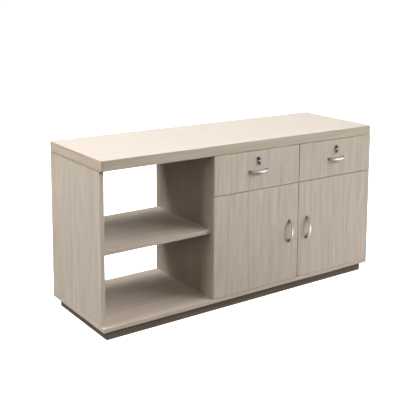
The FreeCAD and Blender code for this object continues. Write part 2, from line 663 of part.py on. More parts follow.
def drawer_box(side):
    """The box behind a drawer front: two sides, a back and a thin bottom in grooves."""
    (low_wall, low_panel), (high_wall, high_panel) = DRAWER_WALLS[side]
    low = f"({low_wall} + Sizes.runner_space)"
    high = f"({high_wall} - Sizes.runner_space)"
    low_inner = f"({low} + Sizes.drawer_board)"
    high_inner = f"({high} - Sizes.drawer_board)"
    pieces = ("front", "low", "high", "back")
    front, low_side, high_side, back = (f"{side}_drawer_{piece}" for piece in pieces)
    panel(low_side, (low, low_inner), (FRONT_REAR, BOX_REAR), BOX_Z)
    panel(high_side, (high_inner, high), (FRONT_REAR, BOX_REAR), BOX_Z)
    back_y = (f"({BOX_REAR} - Sizes.drawer_board)", BOX_REAR)
    panel(back, (low_inner, high_inner), back_y, (BOTTOM_Z[1], BOX_Z[1]))
    bottom_x = (f"({low_inner} - Sizes.groove_depth)", f"({high_inner} + Sizes.groove_depth)")
    bottom_y = (f"({FRONT_REAR} - Sizes.groove_depth)", BOX_REAR)
    panel(f"{side}_drawer_bottom", bottom_x, bottom_y, BOTTOM_Z)
    groove = box(
        f"{side}_drawer_groove",
        (f"({bottom_x[0]} - Sizes.groove_fit)", f"({bottom_x[1]} + Sizes.groove_fit)"),
        (f"({bottom_y[0]} - Sizes.groove_fit)", f"({BOX_REAR} + Sizes.overrun)"),
        (f"({BOTTOM_Z[0]} - Sizes.groove_fit)", f"({BOTTOM_Z[1]} + Sizes.groove_fit)"),
    )
    drill(groove, low_side, high_side, front)
    fixings = f"{side}_drawer_fixings"
    for x_span, outer, way, label in (
        ((low, low_inner), low, "+X", low_side),
        ((high_inner, high), high, "-X", high_side),
    ):
        for share in DRAWER_DOWEL_SHARES:
            dowel(fixings, "-Y", (middle(x_span), FRONT_REAR, between(BOX_Z, share)), label, front)
        for share in DRAWER_SCREW_SHARES:
            surface = (outer, f"({BOX_REAR} - Sizes.drawer_board / 2)", between(BOX_Z, share))
            flush_screw(fixings, way, surface, "Sizes.back_screw_length", label, back)
    runner(side, low_wall, low_panel, "+", low_side)
    runner(side, high_wall, high_panel, "-", high_side)


def drawer_lock(side, x):
    """A cam lock in the drawer front, with its key in it and a strike plate under the top."""
    axis_front = (x, LOCK_FRONT, LOCK_HEIGHT)
    flange = rod("lock_flange", "+Y", axis_front, "Sizes.lock_flange_diameter", "Sizes.lock_flange_thickness")
    barrel = rod("lock_barrel", "+Y", axis_front, "Sizes.lock_body_diameter", f"{LOCK_REAR} - {LOCK_FRONT}")
    mouth = along(axis_front, "-Y", "Sizes.overrun")
    bore_size = "Sizes.plug_diameter + 2 * Sizes.lock_fit"
    bore = rod("lock_bore", "+Y", mouth, bore_size, f"{LOCK_REAR} - {LOCK_FRONT} + 2 * Sizes.overrun")
    node(f"{side}_lock_housing", cut("lock_housing", fuse("lock_case", [flange, barrel]), [bore]))
    seat = "Sizes.lock_body_diameter + 2 * Sizes.fixing_fit"
    drill(rod("lock_hole", "+Y", axis_front, seat, f"{LOCK_REAR} - {LOCK_FRONT}"), f"{side}_drawer_front")

    plug_start = (x, PLUG_FRONT, LOCK_HEIGHT)
    plug = rod("plug_barrel", "+Y", plug_start, "Sizes.plug_diameter", f"{LOCK_REAR} - {PLUG_FRONT}")
    tail_start = (x, LOCK_REAR, LOCK_HEIGHT)
    tail_length = f"{CAM_PLATE_Y[1]} - {LOCK_REAR} + Sizes.plug_tail_end"
    tail = rod("plug_tail", "+Y", tail_start, "Sizes.plug_tail_diameter", tail_length)
    keyway = box(
        "keyway",
        spread(x, "(Sizes.key_thickness + 2 * Sizes.lock_fit)"),
        (f"({PLUG_FRONT} - Sizes.overrun)", f"({PLUG_FRONT} + Sizes.key_insertion + Sizes.lock_fit)"),
        spread(LOCK_HEIGHT, "(Sizes.key_width + 2 * Sizes.lock_fit)"),
    )
    node(f"{side}_lock_plug", cut("lock_plug", fuse("plug_turned", [plug, tail]), [keyway]))

    plate_x = (f"({x} - Sizes.cam_plate_heel)", f"({x} + Sizes.cam_plate_reach)")
    plate = box("cam_plate", plate_x, CAM_PLATE_Y, spread(LOCK_HEIGHT, "Sizes.cam_plate_width"))
    eye_size = "Sizes.plug_tail_diameter + 2 * Sizes.fixing_fit"
    eye = rod("cam_plate_eye", "+Y", tail_start, eye_size, tail_length)
    node(f"{side}_lock_cam", cut("lock_cam", plate, [eye]))

    key_pin = (x, KEY_PIN_Y, LOCK_HEIGHT)
    blade = box(
        "key_flat",
        spread(x, "Sizes.key_thickness"),
        (KEY_PIN_Y, f"({PLUG_FRONT} + Sizes.key_insertion)"),
        spread(LOCK_HEIGHT, "Sizes.key_width"),
    )
    end_start = along(key_pin, "-X", "Sizes.key_thickness / 2")
    end = rod("key_end", "+X", end_start, "Sizes.key_width", "Sizes.key_thickness")
    pin_start = along(key_pin, "-X", "Sizes.key_bow_width / 2")
    pin_hole_size = "Sizes.key_pin_diameter + 2 * Sizes.lock_fit"
    pin_hole = rod("key_pin_hole", "+X", pin_start, pin_hole_size, "Sizes.key_bow_width")
    node(f"{side}_key_blade", cut("key_blade", fuse("key_shape", [blade, end]), [pin_hole]))

    # The bow hangs from a pin through the blade, as a slotted plate with a round foot
    foot_centre = f"({LOCK_HEIGHT} - Sizes.key_bow_drop + Sizes.key_bow_width / 2)"
    bow_y = spread(KEY_PIN_Y, "Sizes.key_bow_thickness")
    grip = box(
        "bow_grip",
        spread(x, "Sizes.key_bow_width"),
        bow_y,
        (foot_centre, f"({LOCK_HEIGHT} + Sizes.key_bow_head)"),
    )
    foot = rod("bow_foot", "+Y", (x, bow_y[0], foot_centre), "Sizes.key_bow_width", "Sizes.key_bow_thickness")
    slot = box(
        "bow_slot",
        spread(x, "(Sizes.key_thickness + 2 * Sizes.key_fit)"),
        (f"({bow_y[0]} - Sizes.overrun)", f"({bow_y[1]} + Sizes.overrun)"),
        (
            f"({LOCK_HEIGHT} - Sizes.key_width / 2 - 2 * Sizes.key_fit)",
            f"({LOCK_HEIGHT} + Sizes.key_bow_head + Sizes.overrun)",
        ),
    )
    pin = rod("key_pin", "+X", pin_start, "Sizes.key_pin_diameter", "Sizes.key_bow_width")
    cheeks = cut("bow_cheeks", fuse("bow_shape", [grip, foot]), [slot])
    node(f"{side}_key_bow", fuse("key_bow", [cheeks, pin]))

    # The strike is an angle: its upright leg stands in front of the cam when the cam points up
    upright_y = (
        f"({CAM_PLATE_Y[0]} - Sizes.strike_gap - Sizes.strike_steel)",
        f"({CAM_PLATE_Y[0]} - Sizes.strike_gap)",
    )
    strike_x = spread(x, "Sizes.strike_width")
    leg_y = (upright_y[0], f"({upright_y[0]} + Sizes.strike_leg)")
    leg_bottom = f"({TOP_UNDERSIDE} - Sizes.strike_steel)"
    upright_z = (f"({LOCK_HEIGHT} + Sizes.strike_clearance)", TOP_UNDERSIDE)
    upright = box("strike_upright", strike_x, upright_y, upright_z)
    leg = box("strike_leg_plate", strike_x, leg_y, (leg_bottom, TOP_UNDERSIDE))
    holes = []
    for share in STRIKE_SCREW_SHARES:
        seat = (between(strike_x, share), middle(leg_y), leg_bottom)
        length = "Sizes.strike_steel + Sizes.screw_grip"
        raised_screw("hardware_screws", "+Z", seat, "Sizes.screw_diameter", length, "top_panel")
        holes.append(drilled["top_panel"][-1])
    gather("lock_strikes", cut("lock_strike", fuse("strike_angle", [upright, leg]), holes))


for side, x_span in FRONT_X.items():
    panel(f"{side}_drawer_front", x_span, FRONT_Y, DRAWER_FRONT_Z)
    drawer_box(side)
    handle = f"{side}_drawer_handle"
    feet = bow_handle(handle, (middle(x_span), f"({DRAWER_FRONT_Z[1]} - Sizes.drawer_handle_drop)"), "X")
    handle_screws(f"{side}_drawer_fixings", feet, f"{side}_drawer_front", handle)
    drawer_lock(side, middle(x_span))

# Doors: each swings on two concealed hinges, with a cup in the door, an arm in the carcass and a cranked link
# between them
HINGE_EDGES = {
    "left": (DIVIDER_LEFT, "+", "divider_panel"),
    "right": (CARCASS_RIGHT, "-", "right_side_panel"),
}
EYE_DIAMETER = "(Sizes.hinge_pin_diameter + 2 * Sizes.hinge_pin_fit + 2 * Sizes.hinge_eye_wall)"
EYE_BORE = "(Sizes.hinge_pin_diameter + 2 * Sizes.hinge_pin_fit)"


def hinge(side, height):
    """One hinge, in distances from the door's outer edge (across) and from the panel's front edge (depth)."""
    edge, sign, carrier = HINGE_EDGES[side]
    door = f"{side}_door_panel"

    def across(distance):
        return f"({edge} {sign} ({distance}))"

    def x_span(near, far):
        return (across(near), across(far)) if sign == "+" else (across(far), across(near))

    inward, outward = ("+X", "-X") if sign == "+" else ("-X", "+X")
    cup_middle = "(Sizes.cup_edge_distance + Sizes.cup_diameter / 2)"
    cup_pin = (across("Sizes.cup_pin_inset"), f"({FRONT_REAR} - Sizes.cup_pin_depth)")
    elbow = (across("Sizes.elbow_inset"), f"({FRONT_REAR} - Sizes.elbow_depth)")
    arm_pin_across = "(Sizes.board + Sizes.arm_pin_offset)"
    arm_pin = (across(arm_pin_across), f"({PANEL_FRONT} + Sizes.arm_pin_setback)")

    # Cup, with its flange on the door's back and a pin across it
    mouth = (across(cup_middle), FRONT_REAR, height)
    outer = rod("cup_outer", "-Y", mouth, "Sizes.cup_diameter", "Sizes.cup_depth")
    flange_middle = f"({cup_middle} + Sizes.cup_flange_offset)"
    flange_x = x_span(*spread(flange_middle, "Sizes.cup_flange_width"))
    flange_y = (FRONT_REAR, f"({FRONT_REAR} + Sizes.cup_flange_thickness)")
    flange = box("cup_flange", flange_x, flange_y, spread(height, "Sizes.cup_flange_height"))
    hollow_size = "Sizes.cup_diameter - 2 * Sizes.cup_wall"
    hollow_start = along(mouth, "+Y", "(Sizes.cup_flange_thickness + Sizes.overrun)")
    hollow_depth = "Sizes.cup_depth - Sizes.cup_wall + Sizes.cup_flange_thickness + Sizes.overrun"
    hollow = rod("cup_hollow", "-Y", hollow_start, hollow_size, hollow_depth)
    screw_holes = []
    for way in "-+":
        seat = (across(flange_middle), flange_y[1], f"({height} {way} Sizes.cup_screw_spacing / 2)")
        length = "Sizes.cup_flange_thickness + Sizes.screw_grip"
        shank = rod("cup_screw_shank", "-Y", seat, "Sizes.screw_diameter", length)
        head_size = "Sizes.screw_head_diameter"
        head = rod("cup_screw_head", "+Y", seat, head_size, "Sizes.cup_flange_thickness / 2")
        gather(f"{side}_door_fixings", fuse("cup_screw", [shank, head]))
        wide = "Sizes.screw_diameter + 2 * Sizes.fixing_fit"
        screw_holes.append(rod("cup_screw_hole", "-Y", seat, wide, f"{length} + Sizes.dowel_end_gap"))
    for hole in screw_holes:
        drill(hole, door)
    shell = cut("cup_shell", fuse("cup_body", [outer, flange]), [hollow, *screw_holes])
    # The pin's ends stop in the middle of the round wall
    pin_start = (*cup_pin, f"({height} - Sizes.cup_diameter / 2)")
    pin_blank = rod("cup_pin_blank", "+Z", pin_start, "Sizes.hinge_pin_diameter", "Sizes.cup_diameter")
    wall_middle = "Sizes.cup_diameter - Sizes.cup_wall"
    pin = common("cup_pin", pin_blank, rod("cup_pin_zone", "-Y", mouth, wall_middle, "Sizes.cup_depth"))
    gather(f"{side}_door_hinge_cups", fuse("hinge_cup", [shell, pin]))
    wide = "Sizes.cup_diameter + 2 * Sizes.fixing_fit"
    drill(rod("cup_hole", "-Y", mouth, wide, "Sizes.cup_depth + Sizes.fixing_fit"), door)

    # Link: two strips that meet at the elbow, with an eye at each end
    link_z = spread(height, "Sizes.link_width")
    pieces = [
        strip("link_inner", cup_pin, elbow, "Sizes.link_steel", link_z),
        strip("link_outer", elbow, arm_pin, "Sizes.link_steel", link_z),
        rod("link_elbow", "+Z", (*elbow, link_z[0]), "Sizes.link_steel", "Sizes.link_width"),
    ]
    bores = []
    for point in (cup_pin, arm_pin):
        low = (*point, link_z[0])
        pieces.append(rod("link_eye", "+Z", low, EYE_DIAMETER, "Sizes.link_width"))
        bore_start = along(low, "-Z", "Sizes.overrun")
        bores.append(rod("link_bore", "+Z", bore_start, EYE_BORE, "Sizes.link_width + 2 * Sizes.overrun"))
    gather(f"{side}_hinge_links", cut("hinge_link", fuse("link_shape", pieces), bores))

    # Arm: a channel that opens towards the panel, with the link's pin across its nose
    cover_inner = f"({arm_pin_across} + Sizes.arm_cover)"
    cover_outer = f"({cover_inner} + Sizes.arm_steel)"
    arm_front = f"({arm_pin[1]} - Sizes.arm_nose)"
    arm_y = (arm_front, f"({arm_front} + Sizes.arm_length)")
    arm_z = spread(height, "Sizes.arm_height")
    wall_foot = f"({arm_pin_across} - Sizes.arm_cover)"
    cover = box("arm_cover_plate", x_span(cover_inner, cover_outer), arm_y, arm_z)
    wall_x = x_span(wall_foot, cover_outer)
    low_wall = box("arm_wall", wall_x, arm_y, (arm_z[0], f"({arm_z[0]} + Sizes.arm_steel)"))
    high_wall = box("arm_wall", wall_x, arm_y, (f"({arm_z[1]} - Sizes.arm_steel)", arm_z[1]))
    arm_pin_rod = rod("arm_pin", "+Z", (*arm_pin, arm_z[0]), "Sizes.hinge_pin_diameter", "Sizes.arm_height")
    gather("hinge_arms", fuse("hinge_arm", [cover, low_wall, high_wall, arm_pin_rod]))

    # Mounting plate: wings screwed to the panel and a rib that fills the arm
    plate_front = f"({PANEL_FRONT} + Sizes.plate_front)"
    plate_y = (plate_front, f"({plate_front} + Sizes.plate_length)")
    plate_top = "(Sizes.board + Sizes.plate_thickness)"
    wing_z = spread(height, "Sizes.plate_height")
    wings = box("plate_wings", x_span("Sizes.board", plate_top), plate_y, wing_z)
    rib_height = "(Sizes.arm_height - 2 * Sizes.arm_steel - 2 * Sizes.plate_play)"
    rib_y = (plate_y[0], f"({arm_y[1]} - Sizes.plate_play)")
    rib = box("plate_rib", x_span("Sizes.board", cover_inner), rib_y, spread(height, rib_height))
    holes = []
    for way in "-+":
        seat = (across(plate_top), middle(plate_y), f"({height} {way} Sizes.plate_screw_spacing / 2)")
        length = "Sizes.plate_thickness + Sizes.screw_grip"
        raised_screw("hardware_screws", outward, seat, "Sizes.screw_diameter", length, carrier)
        holes.append(drilled[carrier][-1])
    gather("hinge_plates", cut("hinge_plate", fuse("plate_body", [wings, rib]), holes))


for side, x_span in FRONT_X.items():
    panel(f"{side}_door_panel", x_span, FRONT_Y, DOOR_Z)
    handle = f"{side}_door_handle"
    handle_x = {
        "left": f"({x_span[1]} - Sizes.door_handle_inset)",
        "right": f"({x_span[0]} + Sizes.door_handle_inset)",
    }
    handle_z = f"({middle(DOOR_Z)} + Sizes.door_handle_raise)"
    feet = bow_handle(handle, (handle_x[side], handle_z), "Z")
    handle_screws(f"{side}_door_fixings", feet, f"{side}_door_panel", handle)
    hinge(side, f"({DOOR_Z[0]} + Sizes.hinge_end_distance)")
    hinge(side, f"({DOOR_Z[1]} - Sizes.hinge_end_distance)")

# Every board with its holes taken out, and every group as one sub-part of separate pieces
for label, blank in blanks.items():
    node(label, cut(f"{label}_drilled", blank, drilled[label]) if label in drilled else blank)
PAIRS = {
    "plinth_end_rails": ("plinth_left_rail", "plinth_right_rail"),
    "left_drawer_sides": ("left_drawer_low", "left_drawer_high"),
    "right_drawer_sides": ("right_drawer_low", "right_drawer_high"),
}
for label, pair in PAIRS.items():
    boards = [item for item in nodes if item.Label in pair]
    gather(label, *boards)
    for item in boards:
        nodes.remove(item)
for label, items in groups.items():
    group = doc.addObject("Part::Compound", f"{label}_group")
    group.Links = items
    node(label, group)
doc.recompute()

# Nothing is written unless every object was made and every sub-part is a valid solid or group of solids
for item in doc.Objects:
    if "Invalid" in item.State or "Error" in item.State:
        raise RuntimeError(f"{item.Label} was not made: {item.State}")
for item in nodes:
    if item.Shape.isNull() or not item.Shape.isValid() or not item.Shape.Solids:
        raise RuntimeError(f"{item.Label} is not a valid solid")
os.makedirs("parts", exist_ok=True)
for item in nodes:
    item.Shape.exportStep(f"parts/{item.Label}.step")
print(len(nodes), "sub-parts,", sum(len(item.Shape.Solids) for item in nodes), "solids")
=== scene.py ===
# %% [markdown]
# # An office storage cabinet in wood-grain melamine
# The imported model already holds every board, hinge, runner and lock at its real size. This lesson gives each
# of them its finish. It starts by loading that model, and keeps the model's own box.

# %% Load the frame
import json
import math

import bmesh
import bpy
import numpy as np
from mathutils import Matrix, Vector

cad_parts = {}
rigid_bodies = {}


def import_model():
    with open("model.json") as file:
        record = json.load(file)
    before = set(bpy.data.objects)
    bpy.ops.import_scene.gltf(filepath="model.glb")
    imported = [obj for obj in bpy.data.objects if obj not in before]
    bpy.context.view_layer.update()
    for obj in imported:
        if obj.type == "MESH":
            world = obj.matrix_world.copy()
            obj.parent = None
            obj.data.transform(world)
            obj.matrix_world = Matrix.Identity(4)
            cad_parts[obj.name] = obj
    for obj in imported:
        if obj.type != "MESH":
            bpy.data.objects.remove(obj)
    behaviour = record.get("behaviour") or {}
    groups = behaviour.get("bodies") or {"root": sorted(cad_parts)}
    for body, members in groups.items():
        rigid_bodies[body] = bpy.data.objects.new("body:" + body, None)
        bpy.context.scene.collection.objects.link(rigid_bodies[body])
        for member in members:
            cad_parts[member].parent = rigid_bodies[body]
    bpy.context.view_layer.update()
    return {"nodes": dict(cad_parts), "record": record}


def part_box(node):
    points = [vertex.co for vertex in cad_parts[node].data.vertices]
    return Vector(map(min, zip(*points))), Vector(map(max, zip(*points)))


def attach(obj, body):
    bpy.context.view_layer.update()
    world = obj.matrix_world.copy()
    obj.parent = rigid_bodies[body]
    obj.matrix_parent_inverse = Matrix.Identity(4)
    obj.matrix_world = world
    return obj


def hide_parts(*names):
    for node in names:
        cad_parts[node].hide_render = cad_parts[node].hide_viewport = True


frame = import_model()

MM = 0.001

# %% [markdown]
# ## The camera
# The photograph was taken from the left of the front and a little above the top. Its vanishing points give
# the lens, the direction and the shift. Its optical centre isn't in the middle of the frame, as in a picture
# that is cut from a larger one, and the camera's shift stands for that.

# %% Camera
FRAME_PX = 406
FOCAL_PX = 807.1
CENTRE_PX = (253.3, 102.7)
SENSOR_MM = 36
EYE_MM = (-2164.0, -3071.7, 1460.2)
FAR_M = 100
YAW, PITCH, ROLL = (math.radians(angle) for angle in (37.464, 8.415, -0.802))


def set_camera():
    """Places a camera whose lens is focal pixels times sensor over frame, and whose shift is the offset of
    the optical centre from the middle of the frame, as a share of the frame."""
    data = bpy.data.cameras.new("studio_camera")
    data.sensor_width = SENSOR_MM
    data.lens = FOCAL_PX * SENSOR_MM / FRAME_PX
    data.shift_x = (FRAME_PX / 2 - CENTRE_PX[0]) / FRAME_PX
    data.shift_y = (CENTRE_PX[1] - FRAME_PX / 2) / FRAME_PX
    data.clip_end = FAR_M
    camera = bpy.data.objects.new("studio_camera", data)
    bpy.context.scene.collection.objects.link(camera)
    turn = Matrix.Rotation(-YAW, 4, "Z") @ Matrix.Rotation(math.radians(90) - PITCH, 4, "X")
    turn = turn @ Matrix.Rotation(-ROLL, 4, "Z")
    camera.matrix_world = Matrix.Translation(Vector(EYE_MM) * MM) @ turn
    bpy.context.scene.camera = camera
    return camera


camera = set_camera()
print("camera: lens", round(camera.data.lens, 2), "mm, shift", round(camera.data.shift_x, 3),
      round(camera.data.shift_y, 3))

# %% [markdown]
# ## Colours and nodes
# Colours are written as sRGB hex values, the way a paint chart gives them, and one function turns them into
# the linear numbers that a shader works with. A second small function adds a shader node with its settings
# and its links, so a material reads as a list of what it is made of.

# %% Colour and node helpers
def linear(code):
    """Linear RGBA of an sRGB hex value: up to 0.04045 a value is divided by 12.92, and above that it gets
    0.055 more, is divided by 1.055 and raised to the power of 2.4."""
    srgb = np.array([int(code[i:i + 2], 16) for i in (1, 3, 5)]) / 255
    low, high = srgb / 12.92, ((srgb + 0.055) / 1.055) ** 2.4
    return (*np.where(srgb <= 0.04045, low, high).tolist(), 1.0)


def add(tree, kind, settings=None, stops=(), **inputs):
    """Adds a shader node, sets its settings and the (place, colour) stops of its ramp, and fills or links its
    inputs. An input goes by its name, with _ for a space, or by i and its place among the inputs."""
    node = tree.nodes.new(kind)
    for name, value in (settings or {}).items():
        setattr(node, name, value)
    if stops:
        elements = node.color_ramp.elements
        for element, (place, code) in zip(elements, (stops[0], stops[-1])):
            element.position = place
            element.color = linear(code)
        for place, code in stops[1:-1]:
            elements.new(place).color = linear(code)
    for name, value in inputs.items():
        key = int(name[1:]) if name[0] == "i" and name[1:].isdigit() else name.replace("_", " ")
        if isinstance(value, bpy.types.NodeSocket):
            tree.links.new(value, node.inputs[key])
        else:
            node.inputs[key].default_value = value
    return node


def new_material(name):
    """An empty material with its node tree, its shader and its output."""
    material = bpy.data.materials.new(name)
    material.use_nodes = True
    tree = material.node_tree
    tree.nodes.clear()
    shader = add(tree, "ShaderNodeBsdfPrincipled")
    add(tree, "ShaderNodeOutputMaterial", Surface=shader.outputs["BSDF"])
    return material, tree, shader


print("a mid grey of #808080 is", round(linear("#808080")[0], 3), "in linear light")

# %% [markdown]
# ## Wood-grain melamine
# The boards are chipboard faced with printed melamine paper: a pale greige wood with long straight streaks,
# some warmer and some greyer, and fine dark lines along the grain. The print is flat, so nearly all of the
# pattern is colour. Its coordinates are a UV map in metres, laid along each face's own grain, which lets the
# print turn at an edge the way an edging strip does. Noise that is stretched along the grain draws streaks
# about 30 mm wide, bands about 11 mm wide and lines about 3 mm wide. The real lines are finer than that, but
# they would vanish at this distance.

# %% Grain pattern
STREAK_MM = (700, 30)
BAND_MM = (240, 11)
LINE_MM = (110, 3.2)
DRIFT_MM = (1300, 60)
STREAK_SHARE, LINE_SHARE = 0.65, 0.7
GRAIN_LOW, GRAIN_HIGH = 0.8, 1.55
COOL_AT, WARM_AT = 0.35, 0.65
NOISE_ROUGHNESS = 0.55
MELAMINE_IOR, MELAMINE_SPECULAR = 1.5, 0.3
GROOVE_DEPTH = 0.05 * MM
MULTIPLY_COLOURS = {"data_type": "RGBA", "blend_type": "MULTIPLY"}


def stretched_noise(tree, place, size_mm, detail):
    """Noise whose features are size_mm long along the grain and across it."""
    scale = (1 / (size_mm[0] * MM), 1 / (size_mm[1] * MM), 1)
    mapped = add(tree, "ShaderNodeMapping", Vector=place, Scale=scale)
    noise = add(tree, "ShaderNodeTexNoise", Vector=mapped.outputs["Vector"], Scale=1.0, Detail=detail,
                Roughness=NOISE_ROUGHNESS)
    return noise.outputs["Fac"]


def melamine(name, stops, warm, cool, roughness):
    """Printed melamine: streaks, bands and lines added up, then coloured, with a slow warm and cool drift."""
    material, tree, shader = new_material(name)
    place = add(tree, "ShaderNodeTexCoord").outputs["UV"]
    streak = stretched_noise(tree, place, STREAK_MM, 2.0)
    band = stretched_noise(tree, place, BAND_MM, 3.0)
    line = stretched_noise(tree, place, LINE_MM, 2.0)
    drift = stretched_noise(tree, place, DRIFT_MM, 1.0)
    weighted = {"operation": "MULTIPLY_ADD"}
    coarse = add(tree, "ShaderNodeMath", weighted, i0=streak, i1=STREAK_SHARE, i2=band)
    total = add(tree, "ShaderNodeMath", weighted, i0=line, i1=LINE_SHARE, i2=coarse.outputs[0])
    grain = add(tree, "ShaderNodeMapRange", Value=total.outputs[0], From_Min=GRAIN_LOW, From_Max=GRAIN_HIGH)
    colour = add(tree, "ShaderNodeValToRGB", stops=stops, Fac=grain.outputs["Result"])
    tint = add(tree, "ShaderNodeValToRGB", stops=((COOL_AT, cool), (WARM_AT, warm)), Fac=drift)
    mixed = add(tree, "ShaderNodeMix", MULTIPLY_COLOURS, i0=1.0, i6=colour.outputs["Color"],
                i7=tint.outputs["Color"])
    tree.links.new(mixed.outputs[2], shader.inputs["Base Color"])
    shader.inputs["Roughness"].default_value = roughness
    shader.inputs["IOR"].default_value = MELAMINE_IOR
    shader.inputs["Specular IOR Level"].default_value = MELAMINE_SPECULAR
    bump = add(tree, "ShaderNodeBump", Height=line, Strength=0.15, Distance=GROOVE_DEPTH)
    tree.links.new(bump.outputs["Normal"], shader.inputs["Normal"])
    return material


print("streaks, bands and lines are", STREAK_MM[1], BAND_MM[1], LINE_MM[1], "mm wide")

# %% [markdown]
# ## The prints of this cabinet
# One pattern in several colours serves all the boards, which is easier to keep in step than a material for
# each. Sides and fronts have the greige wood. The top and the boards of the open bay look calmer, so their
# colours lie closer together. The face of the top is also greyer than the rest, a painted sheen for its
# brightly lit face, so the edging of the top is a little darker than its face. The plinth is dark brown. The
# drawers' boxes are pale grey, the thin boards are lacquered fibreboard, and both are nearly plain.

# %% Melamine prints
GREIGE_STOPS = ((0.0, "#B0A497"), (0.35, "#BFB4A7"), (0.65, "#C9BEB2"), (1.0, "#D3CABE"))
EDGE_STOPS = ((0.0, "#ACA090"), (0.35, "#B9AD9D"), (0.65, "#C1B5A5"), (1.0, "#CABFB0"))
# Painted sheen: the top's face has a greyer, calmer copy of the greige print, for its brightly lit face.
TOP_SHEEN_STOPS = ((0.0, "#B9B0A7"), (0.35, "#BEB5AC"), (0.65, "#C1B8B0"), (1.0, "#C6BEB6"))
BAY_STOPS = ((0.0, "#B6AA9D"), (0.35, "#BFB3A6"), (0.65, "#C5B9AD"), (1.0, "#CCC1B5"))
PLINTH_STOPS = ((0.0, "#5E5549"), (0.5, "#6E6457"), (1.0, "#7D7365"))
DRAWER_STOPS = ((0.0, "#C9C5BE"), (1.0, "#D6D3CC"))
HARDBOARD_STOPS = ((0.0, "#B9AE9E"), (1.0, "#C9BFB1"))
board_print = melamine("greige_melamine", GREIGE_STOPS, "#FFFAF4", "#FAF9F6", 0.42)
bay_print = melamine("greige_melamine_inside", BAY_STOPS, "#FFFBF6", "#FBFBF8", 0.42)
top_sheen_print = melamine("greige_melamine_top_painted_sheen", TOP_SHEEN_STOPS, "#FFFCF9", "#FCFCFB", 0.42)
edge_print = melamine("greige_edging", EDGE_STOPS, "#FFF9F3", "#F8F9F6", 0.42)
plinth_print = melamine("dark_brown_melamine", PLINTH_STOPS, "#FFF6EC", "#F6F4F0", 0.48)
drawer_print = melamine("pale_grey_melamine", DRAWER_STOPS, "#FFFFFF", "#FAFAF8", 0.5)
hardboard = melamine("lacquered_fibreboard", HARDBOARD_STOPS, "#FFF9F2", "#F7F6F2", 0.6)
prints = (board_print, bay_print, top_sheen_print, edge_print, plinth_print, drawer_print, hardboard)
print("prints:", ", ".join(finish.name for finish in prints))

# %% [markdown]
# ## Plated metals
# Satin nickel is plated and then brushed, so its gloss is drawn out along the handle. Real brush lines are
# finer than the half millimetre that is drawn here, but they would vanish. Bright zinc is a little cloudy,
# and the nickel of the hinges and the keys is smoother. The locks are satin chrome, with nearly black
# plugs, whose dark metal is also a painted shade round the key's hinge. The patterns are on Object
# coordinates, in real sizes, so they stay with the piece when a drawer or a door moves.

# %% Metals
NOISE_LOW, NOISE_HIGH = 0.3, 0.7
# Painted shade: the ends of each handle are coloured darker, where shade falls on its feet.
FOOT_SHADE_FROM, FOOT_SHADE_FULL = 0.62, 0.9
PAINTED_FOOT_SHADE = "#A39D97"


def metal(name, code, cloudy, roughness, spread, cloud_mm, brushed_mm=None, painted_foot_shade=None):
    """Plated metal: colour and roughness drift with a cloud pattern, and brushing adds fine grooves along X
    or Z, whichever is the longer stretch of brushed_mm. A painted foot shade darkens the ends of a handle, by
    its own attribute: painted shade at the feet, where shade falls."""
    material, tree, shader = new_material(name)
    place = add(tree, "ShaderNodeTexCoord").outputs["Object"]
    cloud = add(tree, "ShaderNodeTexNoise", Vector=place, Scale=1 / (cloud_mm * MM), Detail=3.0).outputs["Fac"]
    tones = ((NOISE_LOW, cloudy), (NOISE_HIGH, code))
    colour = add(tree, "ShaderNodeValToRGB", stops=tones, Fac=cloud).outputs["Color"]
    # Painted shade: the colour gets darker towards the feet of a handle.
    if painted_foot_shade:
        foot = add(tree, "ShaderNodeAttribute", {"attribute_name": "foot"}).outputs["Fac"]
        tones = ((FOOT_SHADE_FROM, "#FFFFFF"), (FOOT_SHADE_FULL, painted_foot_shade))
        shade = add(tree, "ShaderNodeValToRGB", stops=tones, Fac=foot).outputs["Color"]
        colour = add(tree, "ShaderNodeMix", MULTIPLY_COLOURS, i0=1.0, i6=colour, i7=shade).outputs[2]
    tree.links.new(colour, shader.inputs["Base Color"])
    shader.inputs["Metallic"].default_value = 1.0
    rough = add(tree, "ShaderNodeMapRange", Value=cloud, To_Min=roughness - spread, To_Max=roughness + spread)
    tree.links.new(rough.outputs["Result"], shader.inputs["Roughness"])
    if brushed_mm:
        scale = tuple(1 / (size * MM) for size in brushed_mm)
        mapped = add(tree, "ShaderNodeMapping", Vector=place, Scale=scale)
        lines = add(tree, "ShaderNodeTexNoise", Vector=mapped.outputs["Vector"], Scale=1.0, Detail=2.0)
        bump = add(tree, "ShaderNodeBump", Height=lines.outputs["Fac"], Strength=0.2, Distance=GROOVE_DEPTH)
        tree.links.new(bump.outputs["Normal"], shader.inputs["Normal"])
    return material


NICKEL = ("#CDC6C2", "#BFB8B4", 0.36, 0.04, 30)
satin_nickel_x = metal("satin_nickel_across", *NICKEL, (60, 0.5, 0.5), PAINTED_FOOT_SHADE)
satin_nickel_z = metal("satin_nickel_upright", *NICKEL, (0.5, 0.5, 60), PAINTED_FOOT_SHADE)
zinc = metal("bright_zinc", "#C4C7C9", "#A9ADB0", 0.33, 0.08, 6)
hinge_nickel = metal("nickel_plate", "#C9C5BE", "#B7B3AC", 0.24, 0.05, 12)
chrome = metal("satin_chrome", "#A19E9B", "#918E8B", 0.34, 0.05, 8)
# Painted shade: the plugs are nearly black, dark enough to stand also for the shade round the key's hinge.
dark_plug_and_painted_shade = metal("dark_plug_and_painted_shade", "#33312F", "#262523", 0.34, 0.06, 5)
key_nickel = metal("key_nickel", "#C6C2BA", "#AFAAA2", 0.28, 0.06, 5)
metals = (satin_nickel_x, satin_nickel_z, zinc, hinge_nickel, chrome, dark_plug_and_painted_shade, key_nickel)
print("metals:", ", ".join(finish.name for finish in metals))

